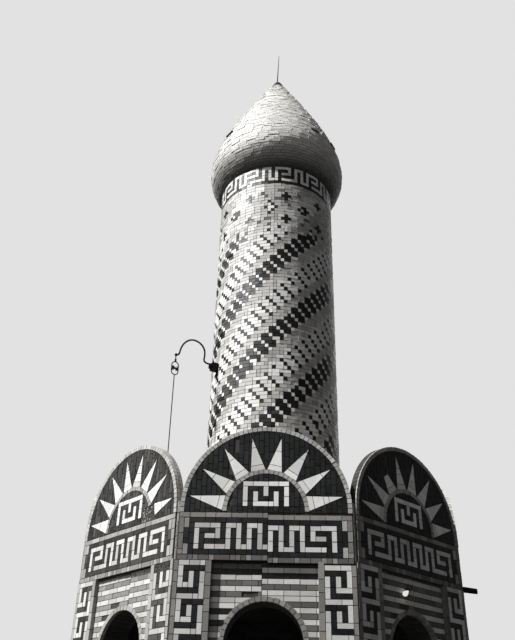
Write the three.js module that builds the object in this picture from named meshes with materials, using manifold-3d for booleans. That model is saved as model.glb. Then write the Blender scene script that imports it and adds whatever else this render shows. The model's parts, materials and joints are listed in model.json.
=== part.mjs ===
// Mausoleum tower: an open octagonal arcade with eight sunburst gables, a tall round
// tiled shaft on its roof, a bulbous pointed brick cap and a thin finial.
// Millimetres, +Z up. The origin is on the ground at the centre of the octagon, and
// the front face looks along -Y. Walls, vault, shaft and cap are hollow masonry.
import * as THREE from "three";
import { mergeVertices } from "three/addons/utils/BufferGeometryUtils.js";
import Module from "manifold-3d";

const wasm = await Module();
wasm.setup();

// Base: a regular octagon of walls
const FACES = 8;
const BRICK_UNIT = 60; // one 50 mm brick and its joint
const APOTHEM = 2465; // centre to the outer face of a wall
const WALL_THICKNESS = 400;
const FLOOR_TOP = 200;
const ARCH_RADIUS = 438;
const SPRING_LEVEL = 2715;
const FIELD_HALF_WIDTH = 10 * BRICK_UNIT; // half the sunk field round an arch
const FIELD_RECESS = 50; // depth of that field behind piers and frieze
const FRIEZE_BOTTOM = 3570;
const FRIEZE_TOP = FRIEZE_BOTTOM + 9 * BRICK_UNIT;
const FRIEZE_THICKNESS = 60;
const PANEL_HALF_WIDTH = 995; // half the width of a frieze panel and of a gable
const GABLE_THICKNESS = 90;
const GABLE_STILT = BRICK_UNIT; // straight part under the half circle

// Roof: a low pyramid over a shallow vault
const ROOF_EDGE_LEVEL = 4200;
const ROOF_TOP_LEVEL = 4500;
const ROOF_TOP_APOTHEM = 1100;
const VAULT_FOOT_LEVEL = 3650;
const VAULT_RISE = 660;
const VAULT_SEGMENTS = 32;
const VAULT_RINGS = 40;

// Shaft and its ornament band
const SHAFT_RADIUS = 1012;
const SHAFT_WALL = 250;
const BAND_BOTTOM = 10240;
const SHAFT_TOP = 10750;

// Cap: heights above the shaft's top, and the handles of its two curves
const CAP_RADIUS = 1250;
const CAP_WIDEST_HEIGHT = 560;
const CAP_HEIGHT = 3235;
const CAP_TIP_RADIUS = 60;
const CAP_SHELL = 200;
const CAP_CROWN = 480; // solid masonry under the tip
const CAP_OPEN_RADIUS = 300; // the cap is hollow where it is wider than this
const FOOT_HANDLE_REACH = 120;
const FOOT_HANDLE_HEIGHT = 170;
const BELLY_HANDLE_BELOW = 230;
const BELLY_HANDLE_ABOVE = 480;
const CONE_HANDLE_RADIUS = 700;
const CONE_HANDLE_HEIGHT = 2080;
const BULB_STEPS = 5;
const CONE_STEPS = 12;

// Finial: an iron cover on the tip, and a rod that leans a little
const COLLAR_RADIUS = 130;
const COLLAR_WALL = 10;
const COLLAR_TOP = 36; // above the cap's tip
const FINIAL_HEIGHT = 860;
const FINIAL_RADIUS = 12;
const FINIAL_TIP_RADIUS = 5;
const FINIAL_FOOT_X = -12;
const FINIAL_LEAN = 28; // sideways, from foot to tip
const ROD_SIDES = 12;

// Bracket: a swan neck on the left front of the shaft, in an upright plane through
// the axis. Distances are measured out from the axis, levels from the ground.
const BRACKET_BEARING = Math.PI + Math.PI / 6;
const STRAP_THICKNESS = 14;
const STRAP_WIDTH = 80;
const STRAP_BOTTOM = 6845;
const STRAP_TOP = 7075;
const SOCKET_END = 1128;
const SOCKET_WIDTH = 104;
const SOCKET_BOTTOM = 6935;
const SOCKET_TOP = 7052;
const NECK_RADIUS = 46;
const NECK_LENGTH = 26;
const ARM_RADIUS = 14;
const ARM_SIDES = 8;
const ARM_STEPS = 36;
const ARM_POINTS = [
  [1105, 7014],
  [1160, 7026],
  [1222, 7034],
  [1254, 7064],
  [1250, 7120],
  [1248, 7190],
  [1262, 7262],
  [1306, 7326],
  [1372, 7366],
  [1444, 7378],
  [1512, 7362],
  [1572, 7318],
  [1622, 7252],
  [1656, 7168],
  [1674, 7084],
  [1694, 7048],
  [1726, 7042],
];
const KNOB_RADIUS = 24;
const PIN_RADIUS = 8;
const PIN_SHOULDER_RADIUS = 16;
const PIN_SHOULDER_LENGTH = 44;

// Insulator: a porcelain spool across an oval iron frame that hangs from the arm
const FRAME_X = 1726;
const FRAME_TOP = 6926;
const FRAME_HALF_WIDTH = 54; // to the centre line of its round bar
const FRAME_STRAIGHT = 55; // half the length of its straight sides
const FRAME_BAR = 8;
const FRAME_ARC_STEPS = 6;
const FRAME_STEPS = 48;
const FRAME_CENTRE = FRAME_TOP - FRAME_STRAIGHT - FRAME_HALF_WIDTH - FRAME_BAR;
const FRAME_BOTTOM = 2 * FRAME_CENTRE - FRAME_TOP;
const SPOOL_RIM = 36;
const SPOOL_CORE = 17;

// Drop cable
const CABLE_RADIUS = 8;
const CABLE_FOOT_X = 1708;
const CABLE_SIDES = 8;
const CABLE_STEPS = 4;

// Lamp: placed on the sunk field over the front right doorway
const LAMP_ACROSS = -92;
const LAMP_LEVEL = 3408;
const LAMP_AIM = [-0.85, -0.05, -0.5];
const ROSE_RADIUS = 26;
const ROSE_DEPTH = 44;
const HOLDER_RADIUS = 17;
const HOLDER_LENGTH = 36;
const BULB_PROFILE = [
  [0, 0],
  [14, 0],
  [15, 14],
  [26, 40],
  [31, 62],
  [26, 83],
  [14, 95],
  [0, 98],
];

// Spout: a tapered pipe on the right face, near its front corner
const SPOUT_ROOT_RADIUS = 38;
const SPOUT_TIP_RADIUS = 34;
const SPOUT_WALL = 6;
const SPOUT_LENGTH = 212;
const SPOUT_FALL = 0.12; // drop for each unit of length
const SPOUT_Y = -860;
const SPOUT_LEVEL = 3617;

const JOINT = 0.3; // clearance between turned or curved neighbours
const SLACK = 1; // overrun of a cutting solid
const SPOOL_HALF_LENGTH = FRAME_HALF_WIDTH - FRAME_BAR - JOINT;

const TURN = (2 * Math.PI) / FACES;
const MITRE = Math.tan(TURN / 2); // half a side for one unit of apothem
const ROUND_STEPS = 72;
const SMALL_ROUND_STEPS = 16;
const ARC_STEPS = 20;
const MERGE_TOLERANCE = 1e-3;

const FACE_NAMES = [
  "front",
  "front_right",
  "right",
  "back_right",
  "back",
  "back_left",
  "left",
  "front_left",
];

const tone = (color, roughness, metalness = 0) =>
  new THREE.MeshStandardMaterial({ color, roughness, metalness });

const finishes = {
  wallBrick: () => tone(0x8d877c, 0.9),
  friezeTile: () => tone(0x3a4148, 0.4),
  gableTile: () => tone(0x4b5054, 0.5),
  beamBrick: () => tone(0x6f6b64, 0.9),
  roofRender: () => tone(0xa09a8e, 0.95),
  floorStone: () => tone(0x8b8880, 0.9),
  shaftTile: () => tone(0xa7a59e, 0.45),
  capBrick: () => tone(0xb9b2a4, 0.85),
  darkIron: () => tone(0x2c2b29, 0.6, 0.6),
  porcelain: () => tone(0x3b2f28, 0.25),
  cableSheath: () => tone(0x202020, 0.8),
  lampGlass: () => tone(0xf2f2ee, 0.15),
};

const root = new THREE.Group();

function addMesh(parent, name, geometry, material) {
  const mesh = new THREE.Mesh(geometry, material());
  mesh.name = name;
  parent.add(mesh);
  return mesh;
}

// Solids for joins and cuts
function toSolid(geometry) {
  const bare = geometry.clone();
  bare.deleteAttribute("normal");
  bare.deleteAttribute("uv");
  const merged = mergeVertices(bare, MERGE_TOLERANCE);
  return new wasm.Manifold(
    new wasm.Mesh({
      numProp: 3,
      vertProperties: new Float32Array(merged.attributes.position.array),
      triVerts: new Uint32Array(merged.index.array),
    }),
  );
}

function toGeometry(solid) {
  const mesh = solid.getMesh();
  const geometry = new THREE.BufferGeometry();
  geometry.setAttribute("position", new THREE.BufferAttribute(mesh.vertProperties, 3));
  geometry.setIndex(new THREE.BufferAttribute(mesh.triVerts, 1));
  return geometry;
}

const toVectors = (points) => points.map(([x, y]) => new THREE.Vector2(x, y));

// A block between two corners
function block([x0, y0, z0], [x1, y1, z1]) {
  const geometry = new THREE.BoxGeometry(x1 - x0, y1 - y0, z1 - z0);
  return geometry.translate((x0 + x1) / 2, (y0 + y1) / 2, (z0 + z1) / 2);
}

// A plan outline raised from one level to another
function raise(points, bottom, top) {
  const shape = new THREE.Shape(points);
  const geometry = new THREE.ExtrudeGeometry(shape, { depth: top - bottom, bevelEnabled: false });
  return geometry.translate(0, 0, bottom);
}

// An upright outline, drawn as x across and y up, with its front at y = front
function uprightSlab(shape, front, thickness) {
  const geometry = new THREE.ExtrudeGeometry(shape, {
    depth: thickness,
    bevelEnabled: false,
    curveSegments: ARC_STEPS,
  });
  return geometry.rotateX(Math.PI / 2).translate(0, front + thickness, 0);
}

const turned = (x, y, angle) =>
  new THREE.Vector2(
    x * Math.cos(angle) - y * Math.sin(angle),
    x * Math.sin(angle) + y * Math.cos(angle),
  );

function octagon(apothem) {
  const points = [];
  for (let i = 0; i < FACES; i += 1) points.push(turned(apothem * MITRE, -apothem, i * TURN));
  return points;
}

// An octagonal frustum between two levels
function octagonFrustum(bottomApothem, bottom, topApothem, top) {
  const scale = 1 / Math.cos(TURN / 2);
  const geometry = new THREE.CylinderGeometry(
    topApothem * scale,
    bottomApothem * scale,
    top - bottom,
    FACES,
  );
  return geometry
    .rotateX(Math.PI / 2)
    .rotateZ(TURN / 2)
    .translate(0, 0, (bottom + top) / 2);
}

// A profile of [radius, height] turned about Z
function turnedProfile(points, steps = ROUND_STEPS) {
  return new THREE.LatheGeometry(toVectors(points), steps).rotateX(Math.PI / 2);
}

function tubeAlong(curve, radius, sides, steps) {
  const section = new THREE.Shape();
  for (let i = 0; i < sides; i += 1) {
    const a = (i / sides) * 2 * Math.PI;
    if (i === 0) section.moveTo(radius, 0);
    else section.lineTo(radius * Math.cos(a), radius * Math.sin(a));
  }
  return new THREE.ExtrudeGeometry(section, { steps, extrudePath: curve, bevelEnabled: false });
}

// Floor: the built floor inside the arcade and under its walls
function buildFloor() {
  addMesh(root, "floor_slab", raise(octagon(APOTHEM), 0, FLOOR_TOP), finishes.floorStone);
}

// Piers: one bent pier at each corner, stepped back beside the two doorways
function buildPiers() {
  const innerApothem = APOTHEM - WALL_THICKNESS;
  const fieldApothem = APOTHEM - FIELD_RECESS;
  const outline = [
    new THREE.Vector2(ARCH_RADIUS, -fieldApothem),
    new THREE.Vector2(FIELD_HALF_WIDTH, -fieldApothem),
    new THREE.Vector2(FIELD_HALF_WIDTH, -APOTHEM),
    new THREE.Vector2(APOTHEM * MITRE, -APOTHEM),
    turned(-FIELD_HALF_WIDTH, -APOTHEM, TURN),
    turned(-FIELD_HALF_WIDTH, -fieldApothem, TURN),
    turned(-ARCH_RADIUS, -fieldApothem, TURN),
    turned(-ARCH_RADIUS, -innerApothem, TURN),
    new THREE.Vector2(innerApothem * MITRE, -innerApothem),
    new THREE.Vector2(ARCH_RADIUS, -innerApothem),
  ];
  for (let i = 0; i < FACES; i += 1) {
    const corner = new THREE.Group();
    corner.rotation.z = i * TURN;
    addMesh(corner, "pier_" + (i + 1), raise(outline, FLOOR_TOP, SPRING_LEVEL), finishes.wallBrick);
    root.add(corner);
  }
}

// Trims a face's slab to the mitre planes at its two corners
function mitred(solid) {
  const reach = APOTHEM + WALL_THICKNESS;
  const half = reach * MITRE - JOINT;
  const wedge = raise(
    [
      new THREE.Vector2(-JOINT, -2 * JOINT),
      new THREE.Vector2(-half, -reach),
      new THREE.Vector2(half, -reach),
      new THREE.Vector2(JOINT, -2 * JOINT),
    ],
    FLOOR_TOP,
    SHAFT_TOP,
  );
  return toGeometry(solid.intersect(toSolid(wedge)));
}

// Arch heads: the wall over each doorway, with its half round arch and sunk field
function archHeadGeometry() {
  const half = APOTHEM * MITRE;
  const shape = new THREE.Shape();
  shape.moveTo(-half, SPRING_LEVEL);
  shape.lineTo(-ARCH_RADIUS, SPRING_LEVEL);
  shape.absarc(0, SPRING_LEVEL, ARCH_RADIUS, Math.PI, 0, true);
  shape.lineTo(half, SPRING_LEVEL);
  shape.lineTo(half, FRIEZE_BOTTOM);
  shape.lineTo(-half, FRIEZE_BOTTOM);
  const field = block(
    [-FIELD_HALF_WIDTH, -APOTHEM - SLACK, SPRING_LEVEL - SLACK],
    [FIELD_HALF_WIDTH, -APOTHEM + FIELD_RECESS, FRIEZE_BOTTOM + SLACK],
  );
  const wall = toSolid(uprightSlab(shape, -APOTHEM, WALL_THICKNESS));
  return mitred(wall.subtract(toSolid(field)));
}

// Frieze panels: flat tiled panels hung in front of the ring beam
function friezeGeometry() {
  return block(
    [-PANEL_HALF_WIDTH, -APOTHEM, FRIEZE_BOTTOM],
    [PANEL_HALF_WIDTH, -APOTHEM + FRIEZE_THICKNESS, FRIEZE_TOP],
  );
}

// Gables: half round sunburst slabs that stand on the frieze
function gableGeometry() {
  const springing = FRIEZE_TOP + GABLE_STILT;
  const shape = new THREE.Shape();
  shape.moveTo(-PANEL_HALF_WIDTH, FRIEZE_TOP);
  shape.lineTo(PANEL_HALF_WIDTH, FRIEZE_TOP);
  shape.absarc(0, springing, PANEL_HALF_WIDTH, 0, Math.PI, false);
  return mitred(toSolid(uprightSlab(shape, -APOTHEM, GABLE_THICKNESS)));
}

function buildFaces() {
  FACE_NAMES.forEach((name, i) => {
    const face = new THREE.Group();
    face.rotation.z = i * TURN;
    addMesh(face, "arch_head_" + name, archHeadGeometry(), finishes.wallBrick);
    addMesh(face, "frieze_panel_" + name, friezeGeometry(), finishes.friezeTile);
    addMesh(face, "gable_" + name, gableGeometry(), finishes.gableTile);
    root.add(face);
  });
}

// Ring beam: the course behind the frieze that ties the eight walls
function buildRingBeam() {
  const outer = raise(octagon(APOTHEM - FRIEZE_THICKNESS - JOINT), FRIEZE_BOTTOM, FRIEZE_TOP);
  const inner = raise(
    octagon(APOTHEM - WALL_THICKNESS),
    FRIEZE_BOTTOM - SLACK,
    FRIEZE_TOP + SLACK,
  );
  const ring = toSolid(outer).subtract(toSolid(inner));
  addMesh(root, "ring_beam", toGeometry(ring), finishes.beamBrick);
}

// Roof: a low eight sided roof over a shallow vault, which carries the shaft
const roofEdgeApothem = APOTHEM - GABLE_THICKNESS - JOINT;
const roofSlope = (ROOF_TOP_LEVEL - ROOF_EDGE_LEVEL) / (roofEdgeApothem - ROOF_TOP_APOTHEM);

function buildRoof() {
  const springRadius = APOTHEM - WALL_THICKNESS - JOINT;
  const edge = octagonFrustum(roofEdgeApothem, FRIEZE_TOP, roofEdgeApothem, ROOF_EDGE_LEVEL);
  const slope = octagonFrustum(roofEdgeApothem, ROOF_EDGE_LEVEL, ROOF_TOP_APOTHEM, ROOF_TOP_LEVEL);
  const plug = octagonFrustum(springRadius, VAULT_FOOT_LEVEL, springRadius, FRIEZE_TOP);
  const sphereRadius = (springRadius ** 2 + VAULT_RISE ** 2) / (2 * VAULT_RISE);
  const bowl = new THREE.SphereGeometry(sphereRadius, VAULT_SEGMENTS, VAULT_RINGS);
  bowl.rotateX(Math.PI / 2);
  bowl.translate(0, 0, VAULT_FOOT_LEVEL + VAULT_RISE - sphereRadius);
  const roof = toSolid(edge).add(toSolid(slope)).add(toSolid(plug)).subtract(toSolid(bowl));
  addMesh(root, "roof_vault", toGeometry(roof), finishes.roofRender);
}

// Shaft: the round tower wall, and the ornament band under the cap
function buildShaft() {
  const inner = SHAFT_RADIUS - SHAFT_WALL;
  const tube = (bottom, top) =>
    turnedProfile([
      [inner, bottom],
      [SHAFT_RADIUS, bottom],
      [SHAFT_RADIUS, top],
      [inner, top],
      [inner, bottom],
    ]);
  addMesh(root, "shaft", tube(ROOF_TOP_LEVEL, BAND_BOTTOM), finishes.shaftTile);
  addMesh(root, "shaft_band", tube(BAND_BOTTOM, SHAFT_TOP), finishes.friezeTile);
}

// Cap: the bulb swells out from the shaft and runs up in a nearly straight cone
const capBulb = new THREE.CubicBezierCurve(
  new THREE.Vector2(SHAFT_RADIUS, 0),
  new THREE.Vector2(SHAFT_RADIUS + FOOT_HANDLE_REACH, FOOT_HANDLE_HEIGHT),
  new THREE.Vector2(CAP_RADIUS, CAP_WIDEST_HEIGHT - BELLY_HANDLE_BELOW),
  new THREE.Vector2(CAP_RADIUS, CAP_WIDEST_HEIGHT),
);
const capCone = new THREE.CubicBezierCurve(
  new THREE.Vector2(CAP_RADIUS, CAP_WIDEST_HEIGHT),
  new THREE.Vector2(CAP_RADIUS, CAP_WIDEST_HEIGHT + BELLY_HANDLE_ABOVE),
  new THREE.Vector2(CONE_HANDLE_RADIUS, CONE_HANDLE_HEIGHT),
  new THREE.Vector2(CAP_TIP_RADIUS, CAP_HEIGHT),
);
const capOutline = [
  ...capBulb.getPoints(BULB_STEPS),
  ...capCone.getPoints(CONE_STEPS).slice(1),
].map((p) => [p.x, p.y]);

function buildCap() {
  // The inner face follows every second point, as far up as the shell stays open
  const inner = capOutline
    .filter(([radius], i) => radius > CAP_OPEN_RADIUS && i % 2 === 0)
    .map(([radius, height]) => [radius - CAP_SHELL, height])
    .reverse();
  const tip = [0, CAP_HEIGHT];
  const crown = [0, CAP_HEIGHT - CAP_CROWN];
  const shell = turnedProfile([...capOutline, tip, crown, ...inner, capOutline[0]]);
  addMesh(root, "cap", shell.translate(0, 0, SHAFT_TOP), finishes.capBrick);
}

// Finial: a shallow cone over the tip of the cap, and the leaning rod
function buildFinial() {
  const [[lowRadius, lowHeight], [tipRadius, tipHeight]] = capOutline.slice(-2);
  const steepness = (tipHeight - lowHeight) / (lowRadius - tipRadius);
  const drop = (COLLAR_RADIUS - CAP_TIP_RADIUS) * steepness;
  const collar = turnedProfile([
    [0, 2 * JOINT],
    [CAP_TIP_RADIUS, 2 * JOINT],
    [COLLAR_RADIUS, 2 * JOINT - drop],
    [COLLAR_RADIUS + COLLAR_WALL, -drop],
    [CAP_TIP_RADIUS + COLLAR_WALL, COLLAR_WALL],
    [2 * FINIAL_RADIUS, COLLAR_TOP],
    [0, COLLAR_TOP],
  ]);
  const apex = SHAFT_TOP + CAP_HEIGHT;
  addMesh(root, "finial_collar", collar.translate(0, 0, apex), finishes.darkIron);

  const rod = new THREE.CylinderGeometry(
    FINIAL_TIP_RADIUS,
    FINIAL_RADIUS,
    FINIAL_HEIGHT,
    ROD_SIDES,
  );
  rod.rotateX(Math.PI / 2).translate(0, 0, FINIAL_HEIGHT / 2);
  const lean = new THREE.Matrix4();
  lean.set(1, 0, FINIAL_LEAN / FINIAL_HEIGHT, FINIAL_FOOT_X, 0, 1, 0, 0, 0, 0, 1, 0, 0, 0, 0, 1);
  rod.applyMatrix4(lean).translate(0, 0, apex + COLLAR_TOP);
  addMesh(root, "finial_rod", rod, finishes.darkIron);
}

// Bracket: the socket with its strap on the shaft, and the bent arm with knob and pin
const armPath = new THREE.CatmullRomCurve3(
  ARM_POINTS.map(([x, z]) => new THREE.Vector3(x, 0, z)),
);

function buildBracket(side) {
  const strapInner = SHAFT_RADIUS + JOINT;
  const strapOuter = strapInner + STRAP_THICKNESS;
  const strap = block(
    [strapInner, -STRAP_WIDTH / 2, STRAP_BOTTOM],
    [strapOuter, STRAP_WIDTH / 2, STRAP_TOP],
  );
  const socket = block(
    [strapOuter - SLACK, -SOCKET_WIDTH / 2, SOCKET_BOTTOM],
    [SOCKET_END, SOCKET_WIDTH / 2, SOCKET_TOP],
  );
  const neck = new THREE.CylinderGeometry(
    NECK_RADIUS,
    NECK_RADIUS,
    NECK_LENGTH + SLACK,
    SMALL_ROUND_STEPS,
  );
  neck.rotateZ(Math.PI / 2);
  neck.translate(SOCKET_END + (NECK_LENGTH - SLACK) / 2, 0, (SOCKET_BOTTOM + SOCKET_TOP) / 2);
  const holder = toSolid(strap).add(toSolid(socket)).add(toSolid(neck));
  const hole = toSolid(tubeAlong(armPath, ARM_RADIUS + JOINT, ARM_SIDES, ARM_STEPS));
  addMesh(side, "bracket_socket", toGeometry(holder.subtract(hole)), finishes.darkIron);

  const [knobX, knobLevel] = ARM_POINTS.at(-1);
  const knob = new THREE.SphereGeometry(KNOB_RADIUS, ROD_SIDES, ROD_SIDES / 2);
  knob.rotateX(Math.PI / 2).translate(knobX, 0, knobLevel);
  const shoulder = FRAME_TOP + PIN_SHOULDER_LENGTH;
  const pin = turnedProfile(
    [
      [0, FRAME_TOP + JOINT],
      [PIN_SHOULDER_RADIUS, FRAME_TOP + JOINT],
      [PIN_SHOULDER_RADIUS, shoulder - PIN_RADIUS],
      [PIN_RADIUS, shoulder],
      [PIN_RADIUS, knobLevel],
      [0, knobLevel],
    ],
    ROD_SIDES,
  ).translate(knobX, 0, 0);
  const arm = toSolid(tubeAlong(armPath, ARM_RADIUS, ARM_SIDES, ARM_STEPS))
    .add(toSolid(knob))
    .add(toSolid(pin));
  addMesh(side, "bracket_arm", toGeometry(arm), finishes.darkIron);
}

// Insulator frame: an oval loop of round bar
function buildInsulatorFrame(side) {
  const points = [];
  for (const end of [1, -1]) {
    for (let i = 0; i <= FRAME_ARC_STEPS; i += 1) {
      const a = (i / FRAME_ARC_STEPS) * Math.PI;
      const x = FRAME_X + end * FRAME_HALF_WIDTH * Math.cos(a);
      const z = FRAME_CENTRE + end * (FRAME_STRAIGHT + FRAME_HALF_WIDTH * Math.sin(a));
      points.push(new THREE.Vector3(x, 0, z));
    }
    points.push(new THREE.Vector3(FRAME_X - end * FRAME_HALF_WIDTH, 0, FRAME_CENTRE));
  }
  const loop = new THREE.CatmullRomCurve3(points, true, "chordal");
  const frame = new THREE.TubeGeometry(loop, FRAME_STEPS, FRAME_BAR, ARM_SIDES, true);
  addMesh(side, "insulator_frame", toGeometry(toSolid(frame)), finishes.darkIron);
}

function buildInsulator(side) {
  const collarEnd = SPOOL_HALF_LENGTH / 2;
  const spool = turnedProfile(
    [
      [0, -SPOOL_HALF_LENGTH],
      [SPOOL_RIM, -SPOOL_HALF_LENGTH],
      [SPOOL_RIM, -collarEnd],
      [SPOOL_CORE, -SPOOL_CORE / 2],
      [SPOOL_CORE, SPOOL_CORE / 2],
      [SPOOL_RIM, collarEnd],
      [SPOOL_RIM, SPOOL_HALF_LENGTH],
      [0, SPOOL_HALF_LENGTH],
    ],
    SMALL_ROUND_STEPS,
  );
  spool.rotateY(Math.PI / 2).translate(FRAME_X, 0, FRAME_CENTRE);
  addMesh(side, "insulator", spool, finishes.porcelain);
}

// Drop cable: held between the insulator frame and the roof behind the left gables
function buildDropCable(side) {
  // The roof's nearest side is half a turn of a face away from the bracket's plane
  const roofApothem = CABLE_FOOT_X * Math.cos(BRACKET_BEARING - Math.PI - TURN);
  const roofLevel = ROOF_TOP_LEVEL - (roofApothem - ROOF_TOP_APOTHEM) * roofSlope;
  const footClearance = CABLE_RADIUS * roofSlope + JOINT;
  const line = new THREE.LineCurve3(
    new THREE.Vector3(FRAME_X, 0, FRAME_BOTTOM - 2 * JOINT),
    new THREE.Vector3(CABLE_FOOT_X, 0, roofLevel + footClearance),
  );
  const cable = tubeAlong(line, CABLE_RADIUS, CABLE_SIDES, CABLE_STEPS);
  addMesh(side, "drop_cable", cable, finishes.cableSheath);
}

function buildBracketSide() {
  const side = new THREE.Group();
  side.rotation.z = BRACKET_BEARING;
  buildBracket(side);
  buildInsulatorFrame(side);
  buildInsulator(side);
  buildDropCable(side);
  root.add(side);
}

// Lamp: a round rose on the wall, with a holder and a bare bulb that droop sideways
function buildLamp() {
  const face = new THREE.Group();
  face.rotation.z = TURN;
  const roseFront = -(APOTHEM - FIELD_RECESS + JOINT + ROSE_DEPTH);
  const rose = new THREE.CylinderGeometry(ROSE_RADIUS, ROSE_RADIUS, ROSE_DEPTH, SMALL_ROUND_STEPS);
  rose.translate(LAMP_ACROSS, roseFront + ROSE_DEPTH / 2, LAMP_LEVEL);

  const start = new THREE.Vector3(LAMP_ACROSS, roseFront, LAMP_LEVEL);
  const aim = new THREE.Vector3(...LAMP_AIM).normalize();
  const swing = new THREE.Quaternion().setFromUnitVectors(new THREE.Vector3(0, 1, 0), aim);
  const place = (geometry, along) => {
    geometry.applyQuaternion(swing);
    return geometry.translate(...start.clone().addScaledVector(aim, along).toArray());
  };
  const holder = new THREE.CylinderGeometry(
    HOLDER_RADIUS,
    HOLDER_RADIUS,
    HOLDER_LENGTH,
    SMALL_ROUND_STEPS,
  );
  const joined = toSolid(rose).add(toSolid(place(holder, HOLDER_LENGTH / 2)));
  addMesh(face, "lamp_holder", toGeometry(joined), finishes.porcelain);

  const bulb = new THREE.LatheGeometry(toVectors(BULB_PROFILE), SMALL_ROUND_STEPS);
  addMesh(face, "lamp_bulb", place(bulb, HOLDER_LENGTH + JOINT), finishes.lampGlass);
  root.add(face);
}

// Spout: a short iron pipe that runs down and out from the right face
function buildSpout() {
  const pipe = turnedProfile(
    [
      [SPOUT_ROOT_RADIUS - SPOUT_WALL, 0],
      [SPOUT_ROOT_RADIUS, 0],
      [SPOUT_TIP_RADIUS, SPOUT_LENGTH],
      [SPOUT_TIP_RADIUS - SPOUT_WALL, SPOUT_LENGTH],
      [SPOUT_ROOT_RADIUS - SPOUT_WALL, 0],
    ],
    SMALL_ROUND_STEPS,
  ).rotateY(Math.PI / 2);
  const fall = new THREE.Matrix4();
  fall.set(1, 0, 0, 0, 0, 1, 0, 0, -SPOUT_FALL, 0, 1, 0, 0, 0, 0, 1);
  pipe.applyMatrix4(fall).translate(APOTHEM + JOINT, SPOUT_Y, SPOUT_LEVEL);
  addMesh(root, "spout", pipe, finishes.darkIron);
}

buildFloor();
buildPiers();
buildFaces();
buildRingBeam();
buildRoof();
buildShaft();
buildCap();
buildFinial();
buildBracketSide();
buildLamp();
buildSpout();

export default root;
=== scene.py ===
"""Looks of the mausoleum tower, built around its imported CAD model. Metres, +Z up.

The walls, gables, shaft and cap of the CAD model are the mortar bed. Glazed tiles and
plain bricks are laid on them as solid pieces, a few millimetres proud of the bed.
"""
import json
import math

import bpy
import numpy as np
from mathutils import Matrix, Vector


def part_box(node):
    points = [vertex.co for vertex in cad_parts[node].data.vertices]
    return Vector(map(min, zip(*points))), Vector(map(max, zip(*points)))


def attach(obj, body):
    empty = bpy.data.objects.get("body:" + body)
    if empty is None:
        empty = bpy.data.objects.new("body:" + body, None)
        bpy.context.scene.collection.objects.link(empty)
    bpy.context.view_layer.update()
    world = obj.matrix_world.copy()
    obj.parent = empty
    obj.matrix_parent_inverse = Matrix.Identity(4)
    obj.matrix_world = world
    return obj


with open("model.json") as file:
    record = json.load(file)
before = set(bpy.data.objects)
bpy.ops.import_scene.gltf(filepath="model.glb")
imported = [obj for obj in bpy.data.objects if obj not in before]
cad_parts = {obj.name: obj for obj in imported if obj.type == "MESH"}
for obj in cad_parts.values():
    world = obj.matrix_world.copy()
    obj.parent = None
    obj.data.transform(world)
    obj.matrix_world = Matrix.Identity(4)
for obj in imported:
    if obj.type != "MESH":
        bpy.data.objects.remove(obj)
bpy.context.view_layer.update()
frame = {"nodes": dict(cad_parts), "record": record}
nodes = frame["nodes"]
rng = np.random.default_rng(20)

# Sizes taken from the frame
panel_low, panel_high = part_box("frieze_panel_front")
gable_low, gable_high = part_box("gable_front")
shaft_low, shaft_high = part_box("shaft")
band_low, band_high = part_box("shaft_band")
cap_low, cap_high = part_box("cap")
head_low, head_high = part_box("arch_head_front")
roof_low, roof_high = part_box("roof_vault")

FACES = 8
TURN = 2 * math.pi / FACES
MITRE = math.tan(TURN / 2)

APOTHEM = -panel_low.y
WALL = head_high.y - head_low.y
PANEL_HALF = panel_high.x
FRIEZE_BOTTOM = panel_low.z
FRIEZE_TOP = panel_high.z
SPRING = head_low.z
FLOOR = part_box("floor_slab")[1].z
GABLE_DEPTH = gable_high.y - gable_low.y
GABLE_SPRING = gable_high.z - PANEL_HALF
SHAFT_RADIUS = shaft_high.x
SHAFT_FOOT = shaft_low.z
BAND_FOOT = band_low.z
SHAFT_TOP = band_high.z
COLLAR_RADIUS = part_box("finial_collar")[1].x

# The CAD model's sizes that no box gives
ROOF_EDGE = 4.2
ROOF_TOP_APOTHEM = 1.1
ARCH_RADIUS = 0.438
FIELD_HALF = 0.600  # half the width of the sunk field round an arch
FIELD_RECESS = 0.050
FIELD_APOTHEM = APOTHEM - FIELD_RECESS

# Tiles and bricks
UNIT = 2 * PANEL_HALF / 33  # one small brick with its joint, across a face
COURSE = (FRIEZE_TOP - FRIEZE_BOTTOM) / 9
GAP = 0.0038
BEVEL = 0.0018
PROUD = 0.009
SINK = 0.004
OVER = 0.007  # how far voussoirs and edge bricks stand out past the bed
RING_PROUD = PROUD + 0.002


# Outlines: convex, counter-clockwise, as lists of (across, up)
def rect(left, bottom, right, top):
    return [(left, bottom), (right, bottom), (right, top), (left, top)]


def polar(centre, radius, angle):
    return centre[0] + radius * math.cos(angle), centre[1] + radius * math.sin(angle)


def dot(a, b):
    return a[0] * b[0] + a[1] * b[1]


def ring_blocks(centre, inner, outer, blocks):
    """Voussoirs of a half ring, from right to left."""
    for i in range(blocks):
        start, end = i * math.pi / blocks, (i + 1) * math.pi / blocks
        corners = ((inner, start), (outer, start), (outer, end), (inner, end))
        yield [polar(centre, radius, angle) for radius, angle in corners]


def both_sides(inner, outer):
    """The left and right limits of a strip that lies on either side of a face's middle."""
    for side in (-1, 1):
        yield sorted((side * inner, side * outer))


def clip(outline, normal, limit):
    """Keeps the part of an outline where its distance along normal is at most limit."""
    kept = []
    for start, end in zip(outline, outline[1:] + outline[:1]):
        a = dot(normal, start) - limit
        b = dot(normal, end) - limit
        if a <= 0:
            kept.append(start)
        if a * b < 0:
            t = a / (a - b)
            kept.append((start[0] + t * (end[0] - start[0]), start[1] + t * (end[1] - start[1])))
    return kept


def clip_side(outline, p, q, inside):
    """Keeps the part on the same side of the line p to q as the point inside."""
    normal = (p[1] - q[1], q[0] - p[0])
    limit = dot(normal, p)
    if dot(normal, inside) > limit:
        normal, limit = (-normal[0], -normal[1]), -limit
    return clip(outline, normal, limit)


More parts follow.
